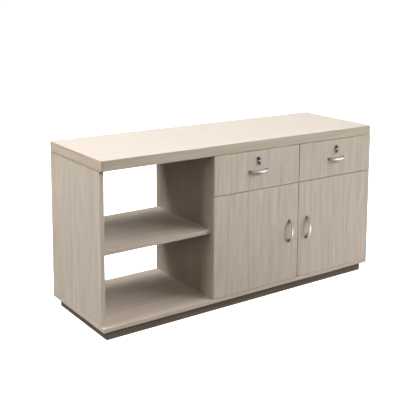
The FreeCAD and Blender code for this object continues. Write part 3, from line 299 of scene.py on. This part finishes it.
# %% [markdown]
# ## Moulded plastic and turned beech
# The key's head is moulded black plastic, with the fine skin that a spark-eroded mould leaves. The dowels are
# plain turned beech. Both have a colour that hardly changes and a fine raised skin, so one function makes
# them both.

# %% Plastic and dowel wood
SKIN_DEPTH = 0.03 * MM


def fine_skin(name, low, high, roughness, skin_mm):
    """Moulded plastic or turned wood: a nearly even colour with a fine raised skin."""
    material, tree, shader = new_material(name)
    place = add(tree, "ShaderNodeTexCoord").outputs["Object"]
    skin = add(tree, "ShaderNodeTexNoise", Vector=place, Scale=1 / (skin_mm * MM), Detail=2.0).outputs["Fac"]
    colour = add(tree, "ShaderNodeValToRGB", stops=((NOISE_LOW, low), (NOISE_HIGH, high)), Fac=skin)
    tree.links.new(colour.outputs["Color"], shader.inputs["Base Color"])
    shader.inputs["Roughness"].default_value = roughness
    bump = add(tree, "ShaderNodeBump", Height=skin, Strength=0.3, Distance=SKIN_DEPTH)
    tree.links.new(bump.outputs["Normal"], shader.inputs["Normal"])
    return material


key_plastic = fine_skin("black_moulded_plastic", "#0E0E0F", "#171718", 0.42, 0.6)
beech = fine_skin("turned_beech", "#B98F63", "#CBA377", 0.6, 4)
print("plastic and wood:", key_plastic.name, "and", beech.name)

# %% [markdown]
# ## Grain that follows each face
# On the large faces of a board the print runs along the board, and on its edges the edging runs along the
# edge. One UV map does both. It is worked out for all corners at once: across a face, the coordinate along
# the grain and the one across it, and on an edge, the coordinate along the strip and the one through the
# board. Each board starts at another place of the print, so no two boards look alike.

# %% Grain map
AXES = {"X": 0, "Y": 1, "Z": 2}
BOARD_STEP_M = (1.73, 0.59)
FACE_STEP_M = (0.29, 0.83)


def read(collection, name, width, kind=float):
    """All values of one property as an array with a row for each element."""
    values = np.empty(len(collection) * width, kind)
    collection.foreach_get(name, values)
    return values.reshape(-1, width) if width > 1 else values


def lay_grain(mesh, grain, thickness, offset):
    """Fills a UV map in metres from each corner's place, by the axis that its face looks along."""
    long, thin = AXES[grain], AXES[thickness]
    across = 3 - long - thin
    u_axis, v_axis = np.empty(3, int), np.empty(3, int)
    u_axis[[thin, across, long]] = (long, long, across)
    v_axis[[thin, across, long]] = (across, thin, thin)
    totals = read(mesh.polygons, "loop_total", 1, int)
    facing = np.repeat(np.abs(read(mesh.polygons, "normal", 3)).argmax(axis=1), totals)
    points = read(mesh.vertices, "co", 3)[read(mesh.loops, "vertex_index", 1, int)]
    rows = np.arange(len(points))
    uv = np.stack((points[rows, u_axis[facing]], points[rows, v_axis[facing]]), axis=1)
    uv += np.array(offset) + facing[:, None] * np.array(FACE_STEP_M)
    mesh.uv_layers.new(name="grain").data.foreach_set("uv", uv.ravel())


print("metres of print from one board to the next:", BOARD_STEP_M)

# %% [markdown]
# ## Welded copies
# A board could be made again as a box, but a copy of the model's own board keeps every hole in its place. The
# model's meshes are loose triangles, so a copy is welded and its flat faces are joined. That leaves one clean
# face for each side of a board, and edges that a bevel can follow.

# %% Welded copies
WELD_MM = 0.001
FACET_M2 = 0.0004
FLAT, SMOOTH = math.radians(0.3), math.radians(30)


def welded_copy(node):
    """A copy of a model node's mesh with its triangles welded and its flat faces joined. Only the small facets
    of its round parts are shaded smooth: large faces, and faces with more than four corners, are flat. The
    normals stored with the loose triangles don't fit the joined faces, so they are dropped."""
    mesh = frame["nodes"][node].data.copy()
    mesh.materials.clear()
    if "custom_normal" in mesh.attributes:
        mesh.attributes.remove(mesh.attributes["custom_normal"])
    bm = bmesh.new()
    bm.from_mesh(mesh)
    bmesh.ops.remove_doubles(bm, verts=bm.verts, dist=WELD_MM * MM)
    bmesh.ops.dissolve_limit(bm, angle_limit=FLAT, verts=bm.verts, edges=bm.edges)
    bm.to_mesh(mesh)
    bm.free()
    small = read(mesh.polygons, "area", 1) < FACET_M2
    mesh.polygons.foreach_set("use_smooth", small & (read(mesh.polygons, "loop_total", 1, int) <= 4))
    mesh.set_sharp_from_angle(angle=SMOOTH)
    return mesh


print("triangles of the top before it is welded:", len(frame["nodes"]["top_panel"].data.polygons))

# %% [markdown]
# ## Eased edges
# A board leaves the saw with crisp edges, and the edging strip is then rounded by about a millimetre so that
# it doesn't cut a hand. Drilled holes stay crisp, so only the edges of a board's outer box are marked for the
# bevel. Each finished mesh rides on the body of the node that it stands for, and moves with it.

# %% Edges and pieces
SHARP = math.radians(50)


def outer_edges(mesh, rim):
    """True for a sharp edge whose two ends are both within rim of the same two sides of the mesh's box. The
    angle comes from the normals of the two faces that share the edge."""
    places = read(mesh.vertices, "co", 3)
    near = np.minimum(places - places.min(axis=0), places.max(axis=0) - places) < rim
    ends = read(mesh.edges, "vertices", 2, int)
    shared = (near[ends[:, 0]] & near[ends[:, 1]]).sum(axis=1) >= 2
    faces = np.repeat(np.arange(len(mesh.polygons)), read(mesh.polygons, "loop_total", 1, int))
    pairs = faces[np.argsort(read(mesh.loops, "edge_index", 1, int), kind="stable")].reshape(-1, 2)
    normals = read(mesh.polygons, "normal", 3)
    return shared & ((normals[pairs[:, 0]] * normals[pairs[:, 1]]).sum(axis=1) < math.cos(SHARP))


def place_piece(name, mesh, body, nodes, material):
    """Links a finished mesh as a piece that rides on a body and stands for its nodes."""
    mesh.name = name
    mesh.materials.append(material)
    piece = bpy.data.objects.new(name, mesh)
    bpy.context.scene.collection.objects.link(piece)
    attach(piece, body)
    if nodes:
        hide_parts(*nodes)
    return piece


def ease(piece, width_mm, method):
    """A rounded bevel on the edges that a method picks."""
    bevel = piece.modifiers.new("eased_edges", "BEVEL")
    bevel.width = width_mm * MM
    bevel.segments = 2
    bevel.limit_method = method
    bevel.angle_limit = SHARP
    bevel.use_clamp_overlap = False
    return piece


record = frame["record"]
node_body = {node: body for body, nodes in record["behaviour"]["bodies"].items() for node in nodes}
node_slot = {row["node"]: row["material_slot"] for row in record["subparts"]}
print("nodes with a body:", len(node_body), "and with a slot:", len(node_slot))

# %% [markdown]
# ## The boards
# Fronts, doors, sides, dividers and the back have their grain upright. The top, the bottom, the shelves, the
# deck, the drawers' boxes and the plinth have it along their length, as a joiner would cut them. The first
# letter below is the axis of the grain and the second one is the axis through the board. The top has a strip
# of edging all round, so its upright faces take the edging's print. Its upright corners are round, so its rim
# is looked for further in, as far as their radius.

# %% Boards
EASE_MM = 0.9
RIM_MM = 0.5
ROUND_RIM_MM = {"top_panel": 12.3}
BOARDS = {
    "top_panel": ("X", "Z"), "left_side_panel": ("Z", "X"), "right_side_panel": ("Z", "X"),
    "divider_panel": ("Z", "X"), "bottom_panel": ("X", "Z"), "open_shelf": ("X", "Z"),
    "drawer_deck": ("X", "Z"), "drawer_partition": ("Z", "X"), "cupboard_shelf": ("X", "Z"),
    "left_drawer_front": ("Z", "Y"), "right_drawer_front": ("Z", "Y"),
    "left_door_panel": ("Z", "Y"), "right_door_panel": ("Z", "Y"),
    "plinth_front_rail": ("X", "Y"), "plinth_rear_rail": ("X", "Y"), "plinth_end_rails": ("Y", "X"),
    "plinth_brace": ("Y", "X"), "back_panel": ("Z", "Y"),
    "left_drawer_sides": ("Y", "X"), "right_drawer_sides": ("Y", "X"),
    "left_drawer_back": ("X", "Y"), "right_drawer_back": ("X", "Y"),
    "left_drawer_bottom": ("Y", "Z"), "right_drawer_bottom": ("Y", "Z"),
}
SLOT_PRINTS = {
    "board_laminate": board_print, "top_laminate": top_sheen_print, "plinth_laminate": plinth_print,
    "drawer_board": drawer_print, "thin_board": hardboard,
}
BAY_BOARDS = ("divider_panel", "bottom_panel", "open_shelf")


def eased_board(node, grain, thickness, material, index):
    """A copy of a board with its outer edges eased, its grain laid and its finish on it."""
    mesh = welded_copy(node)
    marked = outer_edges(mesh, ROUND_RIM_MM.get(node, RIM_MM) * MM)
    weights = mesh.attributes.new("bevel_weight_edge", "FLOAT", "EDGE")
    weights.data.foreach_set("value", marked.astype(np.float32))
    lay_grain(mesh, grain, thickness, np.array(BOARD_STEP_M) * index)
    piece = place_piece(f"{node}_finished", mesh, node_body[node], [node], material)
    if node == "top_panel":
        mesh.materials.append(edge_print)
        upright = np.abs(read(mesh.polygons, "normal", 3)[:, 2]) < 0.5
        mesh.polygons.foreach_set("material_index", upright.astype(np.int32))
    return ease(piece, EASE_MM, "WEIGHT")


for index, (node, (grain, thickness)) in enumerate(BOARDS.items()):
    finish = bay_print if node in BAY_BOARDS else SLOT_PRINTS[node_slot[node]]
    eased_board(node, grain, thickness, finish, index)
print("boards:", len(BOARDS))

# %% [markdown]
# ## Sections and grids
# Handles and keys are rounded all over, and their sections change along their length. A bevelled curve would
# keep one section, so each of them is a grid of points instead, with a closed section at each step of its
# path. The section is a superellipse: an ellipse at a roundness of two, and nearer to a box above that.

# %% Sections and grids
SECTION_STEPS = 40


def superellipse(roundness):
    """Points round a superellipse, evenly spread by angle: the cosine and the sine, each raised to the power
    of two over the roundness, with its sign kept."""
    angle = np.linspace(0, 2 * np.pi, SECTION_STEPS, endpoint=False)
    return (np.sign(wave) * np.abs(wave) ** (2 / roundness) for wave in (np.cos(angle), np.sin(angle)))


def grid_mesh(name, grid):
    """A mesh from a grid of points, closed round its second direction, with a face at each end."""
    steps, around = grid.shape[:2]
    row, column = np.meshgrid(np.arange(steps - 1), np.arange(around), indexing="ij")
    after = (column + 1) % around
    quads = np.stack((row * around + column, row * around + after, (row + 1) * around + after,
                      (row + 1) * around + column), axis=-1).reshape(-1, 4)
    ends = [list(range(around))[::-1], list(range((steps - 1) * around, steps * around))]
    mesh = bpy.data.meshes.new(name)
    mesh.from_pydata(grid.reshape(-1, 3).tolist(), [], quads.tolist() + ends)
    bm = bmesh.new()
    bm.from_mesh(mesh)
    bmesh.ops.recalc_face_normals(bm, faces=bm.faces)
    bm.to_mesh(mesh)
    bm.free()
    mesh.polygons.foreach_set("use_smooth", np.ones(len(mesh.polygons), bool))
    return mesh


print("points round a section:", SECTION_STEPS)

# %% [markdown]
# ## Bow handles
# Each handle is a cast bow: thick at its feet, slim in the middle, flat where fingers pull and softly
# rounded everywhere else. Its section is carried along the crescent between two arcs: at each step, one end
# of the section's axis is on the inner arc and the other is on the outer arc. How far a point is from the
# middle of the bow is kept as an attribute, and the nickel is painted darker where that is large: a painted
# shade at the feet.

# %% Bow handles
HANDLE_STEPS = 96
BOW_ROUNDNESS = 3.4
FOOT_MM = 15
MIDDLE_MM = 5.5


def arc_points(half_chord, rise, steps):
    """Points on the circle through both ends and the crown of an arc, evenly spread by angle: its radius is
    half chord squared plus rise squared, over twice the rise."""
    radius = (half_chord ** 2 + rise ** 2) / (2 * rise)
    reach = math.asin(half_chord / radius)
    angle = np.linspace(-reach, reach, steps)
    return np.stack((radius * np.sin(angle), radius * np.cos(angle) - (radius - rise)), axis=1)


def bow_handle(node, axis, material):
    """A bow that fills its model's box: length along axis, width across it, and rise away from the front. A
    point that would come out behind the front is put on it."""
    low, high = (np.array(corner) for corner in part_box(node))
    size, centre = high - low, (high + low) / 2
    long, wide = AXES[axis], AXES["Z" if axis == "X" else "X"]
    length, width, rise = size[long], size[wide], size[1]
    outer = arc_points(length / 2, rise, HANDLE_STEPS)
    inner = arc_points(length / 2 - FOOT_MM * MM, rise - MIDDLE_MM * MM, HANDLE_STEPS)
    middle, half = (outer + inner) / 2, (outer - inner) / 2
    across, through = superellipse(BOW_ROUNDNESS)
    plane = middle[:, None, :] + half[:, None, :] * through[None, :, None]
    grid = np.empty((HANDLE_STEPS, SECTION_STEPS, 3))
    grid[..., long] = centre[long] + plane[..., 0]
    grid[..., 1] = high[1] - np.maximum(plane[..., 1], 0)
    grid[..., wide] = centre[wide] + across * width / 2
    mesh = grid_mesh(f"{node}_bow", grid)
    along = np.repeat(np.abs(np.linspace(-1, 1, HANDLE_STEPS)), SECTION_STEPS).astype(np.float32)
    mesh.attributes.new("foot", "FLOAT", "POINT").data.foreach_set("value", along)
    return place_piece(f"{node}_bow", mesh, node_body[node], [node], material)


handles = []
for side in ("left", "right"):
    handles.append(bow_handle(f"{side}_drawer_handle", "X", satin_nickel_x))
    handles.append(bow_handle(f"{side}_door_handle", "Z", satin_nickel_z))
print("handles:", len(handles), "of", len(handles[0].data.polygons), "faces each")

# %% [markdown]
# ## The head of a key
# A folding key has a head of black plastic on a steel blade: a hinge round the blade, a bright ferrule and a
# grip that is held between two fingers. The hinge is the top of the key's solid, cut off below the slot for
# the blade. The ferrule and the grip are superellipse sections carried down from it, wide in the middle and
# round at the foot, because a plain block would look too hard in a hand.

# %% Key shapes
GRIP_STEPS = 28
GRIP_ROUNDNESS = 2.6
BLUNT_END = 0.004


def cut_above(mesh, height):
    """Keeps what is above a height, and closes the cut."""
    bm = bmesh.new()
    bm.from_mesh(mesh)
    cut = bmesh.ops.bisect_plane(bm, geom=bm.verts[:] + bm.edges[:] + bm.faces[:], plane_co=(0, 0, height),
                                 plane_no=(0, 0, 1), clear_inner=True)
    rim = [item for item in cut["geom_cut"] if isinstance(item, bmesh.types.BMEdge)]
    bmesh.ops.holes_fill(bm, edges=rim)
    bm.to_mesh(mesh)
    bm.free()
    return mesh


def hanging_grip(name, centre, top, foot, half_width, half_depth, pinch):
    """Superellipse sections down a straight path. The share of the width is the fourth root of one minus the
    fourth power of the way down, narrowed by pinch at the top, and the share of the depth is its square root.
    The foot keeps a small blunt end."""
    way = np.sin(np.linspace(0, np.pi / 2, GRIP_STEPS))
    swell = np.maximum(1 - way ** 4, BLUNT_END) ** 0.25 * (1 - pinch * (1 - way) ** 2)
    across, through = superellipse(GRIP_ROUNDNESS)
    grid = np.empty((GRIP_STEPS, SECTION_STEPS, 3))
    grid[..., 0] = centre[0] + swell[:, None] * (across * half_width)
    grid[..., 1] = centre[1] + swell[:, None] ** 0.5 * (through * half_depth)
    grid[..., 2] = (top + (foot - top) * way)[:, None]
    return grid_mesh(name, grid)


print("sections down a grip:", GRIP_STEPS)

# %% [markdown]
# ## Locks and keys
# Each drawer has a chrome cam lock, with a folding key left in it. The lock's own solids are right already, so
# copies of them only get their rims rounded. The ferrule reaches a little way into the hinge and further into
# the grip, so that no gap shows between them.

# %% Locks and keys
HINGE_SHARE = 0.3
FERRULE_MM = 5.5
FERRULE_SHARES = (0.3, 0.36)
TUCK_IN_HINGE_MM, TUCK_IN_GRIP_MM = 0.5, 6
GRIP_PINCH = 0.2
KEY_EASE_MM, LOCK_EASE_MM = 0.5, 0.35


def folding_key(side):
    """The hinge, the ferrule and the grip of one key, all inside the box of the key's solid."""
    node = f"{side}_key_bow"
    low, high = (np.array(corner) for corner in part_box(node))
    size, centre = high - low, (high + low) / 2
    neck = high[2] - HINGE_SHARE * size[2]
    shoulder = neck - FERRULE_MM * MM
    hinge = cut_above(welded_copy(node), neck)
    piece = place_piece(f"{side}_key_hinge", hinge, node, [node], key_plastic)
    ease(piece, KEY_EASE_MM, "ANGLE")
    ferrule = hanging_grip(f"{side}_key_ferrule", centre, neck + TUCK_IN_HINGE_MM * MM,
                           shoulder - TUCK_IN_GRIP_MM * MM, FERRULE_SHARES[0] * size[0],
                           FERRULE_SHARES[1] * size[1], 0)
    place_piece(f"{side}_key_ferrule", ferrule, node, [], key_nickel)
    grip = hanging_grip(f"{side}_key_grip", centre, shoulder, low[2], size[0] / 2, size[1] / 2, GRIP_PINCH)
    place_piece(f"{side}_key_grip", grip, node, [], key_plastic)
    return size[2]


for side in ("left", "right"):
    key_length = folding_key(side)
    for node, finish in ((f"{side}_lock_housing", chrome), (f"{side}_lock_plug", dark_plug_and_painted_shade)):
        piece = place_piece(f"{node}_turned", welded_copy(node), node_body[node], [node], finish)
        ease(piece, LOCK_EASE_MM, "ANGLE")
    print(side, "lock with a key head of", round(key_length / MM, 1), "mm")

# %% [markdown]
# ## Hardware that keeps its model's shape
# Runners are rolled from zinc-plated steel, hinges are pressed and nickel plated, and cams, bolts and screws
# are plated in a barrel. They hide behind the fronts until something opens. Their solids already have every
# bend and pin, so they only take the finish of their slot.

# %% Hardware
SLOT_METALS = {
    "zinc_steel": zinc, "hinge_nickel": hinge_nickel, "lock_chrome": chrome, "key_steel": key_nickel,
    "key_plastic": key_plastic, "dowel_wood": beech,
}
hardware = [node for node, slot in node_slot.items() if slot in SLOT_METALS]
for node in hardware:
    data = frame["nodes"][node].data
    data.materials.clear()
    data.materials.append(SLOT_METALS[node_slot[node]])
print("nodes with a hardware finish:", len(hardware))

# %% [markdown]
# ## Floor
# The photograph shows the cabinet cut out on white. The floor glows a little, so that it stays as white as
# the backdrop. It lights nothing and only its front right part shows in the metal, because a white floor all
# round would fill the open bay with light.

# %% Floor
REACH_M = 300.0
FLOOR_SPLIT_M = (-0.3, 0.45)
MOTTLE_M = 1 / 3
FLOOR_TONES = ((NOISE_LOW, "#F1F1F0"), (NOISE_HIGH, "#F4F4F3"))


def floor_part(name, material, low, high, mirrored):
    """A flat part of the floor between two corners, seen by the camera and, if mirrored, in glossy surfaces."""
    corners = [(low[0], low[1], 0), (high[0], low[1], 0), (high[0], high[1], 0), (low[0], high[1], 0)]
    mesh = bpy.data.meshes.new(name)
    mesh.from_pydata(corners, [], [(0, 1, 2, 3)])
    mesh.materials.append(material)
    floor = bpy.data.objects.new(name, mesh)
    bpy.context.scene.collection.objects.link(floor)
    floor.visible_diffuse = False
    floor.visible_glossy = mirrored


def pale_floor():
    """A pale floor with faint mottling, in three parts that meet in front of the cabinet."""
    material, tree, shader = new_material("pale_floor")
    place = add(tree, "ShaderNodeTexCoord").outputs["Object"]
    mottle = add(tree, "ShaderNodeTexNoise", Vector=place, Scale=1 / MOTTLE_M, Detail=2.0).outputs["Fac"]
    colour = add(tree, "ShaderNodeValToRGB", stops=FLOOR_TONES, Fac=mottle)
    tree.links.new(colour.outputs["Color"], shader.inputs["Base Color"])
    shader.inputs["Roughness"].default_value = 0.9
    shader.inputs["Emission Color"].default_value = linear("#FFFFFF")
    shader.inputs["Emission Strength"].default_value = 1.0
    near, side = FLOOR_SPLIT_M
    floor_part("floor_rear", material, (-REACH_M, near), (REACH_M, REACH_M), False)
    floor_part("floor_front_left", material, (-REACH_M, -REACH_M), (side, near), False)
    floor_part("floor_front_right", material, (side, -REACH_M), (REACH_M, near), True)


pale_floor()
print("floor parts meet at x", FLOOR_SPLIT_M[1], "m and y", FLOOR_SPLIT_M[0], "m")

# %% [markdown]
# ## Surround
# A shiny handle shows the room around it. A picture of a room could stand for that, but a plain grey is enough
# for satin nickel. It shows only in reflections, and most of all in the metal: brighter in front, which gives
# each bow its bright middle, and darker behind, which leaves its feet dark.

# %% Surround
FRONT_AT, REAR_AT = -0.5, 0.5
FRONT_GLOW, REAR_GLOW = 0.52, 0.26


def grey_surround():
    """A surround that only shows as reflections, and gets darker from the front to the rear."""
    world = bpy.data.worlds.new("grey_surround")
    bpy.context.scene.world = world
    world.use_nodes = True
    tree = world.node_tree
    way = add(tree, "ShaderNodeSeparateXYZ", Vector=add(tree, "ShaderNodeTexCoord").outputs["Generated"])
    glow = add(tree, "ShaderNodeMapRange", {"interpolation_type": "SMOOTHSTEP"}, Value=way.outputs["Y"],
               From_Min=FRONT_AT, From_Max=REAR_AT, To_Min=FRONT_GLOW, To_Max=REAR_GLOW)
    background = tree.nodes["Background"]
    tree.links.new(glow.outputs["Result"], background.inputs["Strength"])
    background.inputs["Color"].default_value = linear("#FFFFFF")
    world.cycles_visibility.diffuse = False


grey_surround()
print("surround: glow of", FRONT_GLOW, "in front and", REAR_GLOW, "behind")

# %% [markdown]
# ## Light
# The cabinet is lit from above: its top is nearly white, soft shadows hang under the drawer handles and the
# open bay falls dark. Large panels high in front, on both hands, light the fronts, and a smaller one nearly
# overhead draws the handles' shadows. Panels over and beside the left end light the top and the side. A weak
# one behind keeps the back from going black. Only the one beside the left end shows in the metal.

# %% Light panels
# For each panel: its place, the point it faces and its size in metres, its watts, and if it shows in metal.
PANELS = {
    "overhead_panel": ((0.9, -2.7, 7.0), (0.3, -0.25, 0.55), (1.3, 1.3), 71, False),
    "left_ceiling": ((-4.0, 1.0, 6.0), (-0.8, 0.0, 0.7), (4.0, 4.0), 372, False),
    "left_roof_panel": ((-2.2, 1.2, 6.5), (-0.6, 0.0, 0.7), (3.0, 3.0), 300, False),
    "front_left_panel": ((-3.5, -14.0, 10.0), (0.0, -0.25, 0.4), (6.0, 6.0), 590, False),
    "front_right_panel": ((6.0, -7.0, 5.0), (0.3, -0.25, 0.4), (4.0, 4.0), 540, False),
    "left_panel": ((-4.6, -0.4, 1.3), (-0.75, -0.1, 0.4), (1.0, 1.0), 64, True),
    "right_wall": ((18.0, -8.0, 9.6), (0.3, -0.25, 0.4), (10.0, 10.0), 2500, False),
    "rear_panel": ((-0.9, 4.5, 2.8), (-0.45, 0.2, 0.3), (2.0, 1.2), 10, False),
}


def soft_panel(name, place, target, size, power, mirrored):
    """An area light of a width and a length at a place, turned to face a target."""
    data = bpy.data.lights.new(name, "AREA")
    data.shape = "RECTANGLE"
    data.size, data.size_y = size
    data.energy = power
    lamp = bpy.data.objects.new(name, data)
    lamp.location = place
    lamp.rotation_euler = (Vector(target) - Vector(place)).to_track_quat("-Z", "Y").to_euler()
    lamp.visible_camera = False
    lamp.visible_glossy = mirrored
    bpy.context.scene.collection.objects.link(lamp)


for name, settings in PANELS.items():
    soft_panel(name, *settings)
bpy.context.scene.view_settings.view_transform = "Standard"
print("light panels:", len(PANELS))
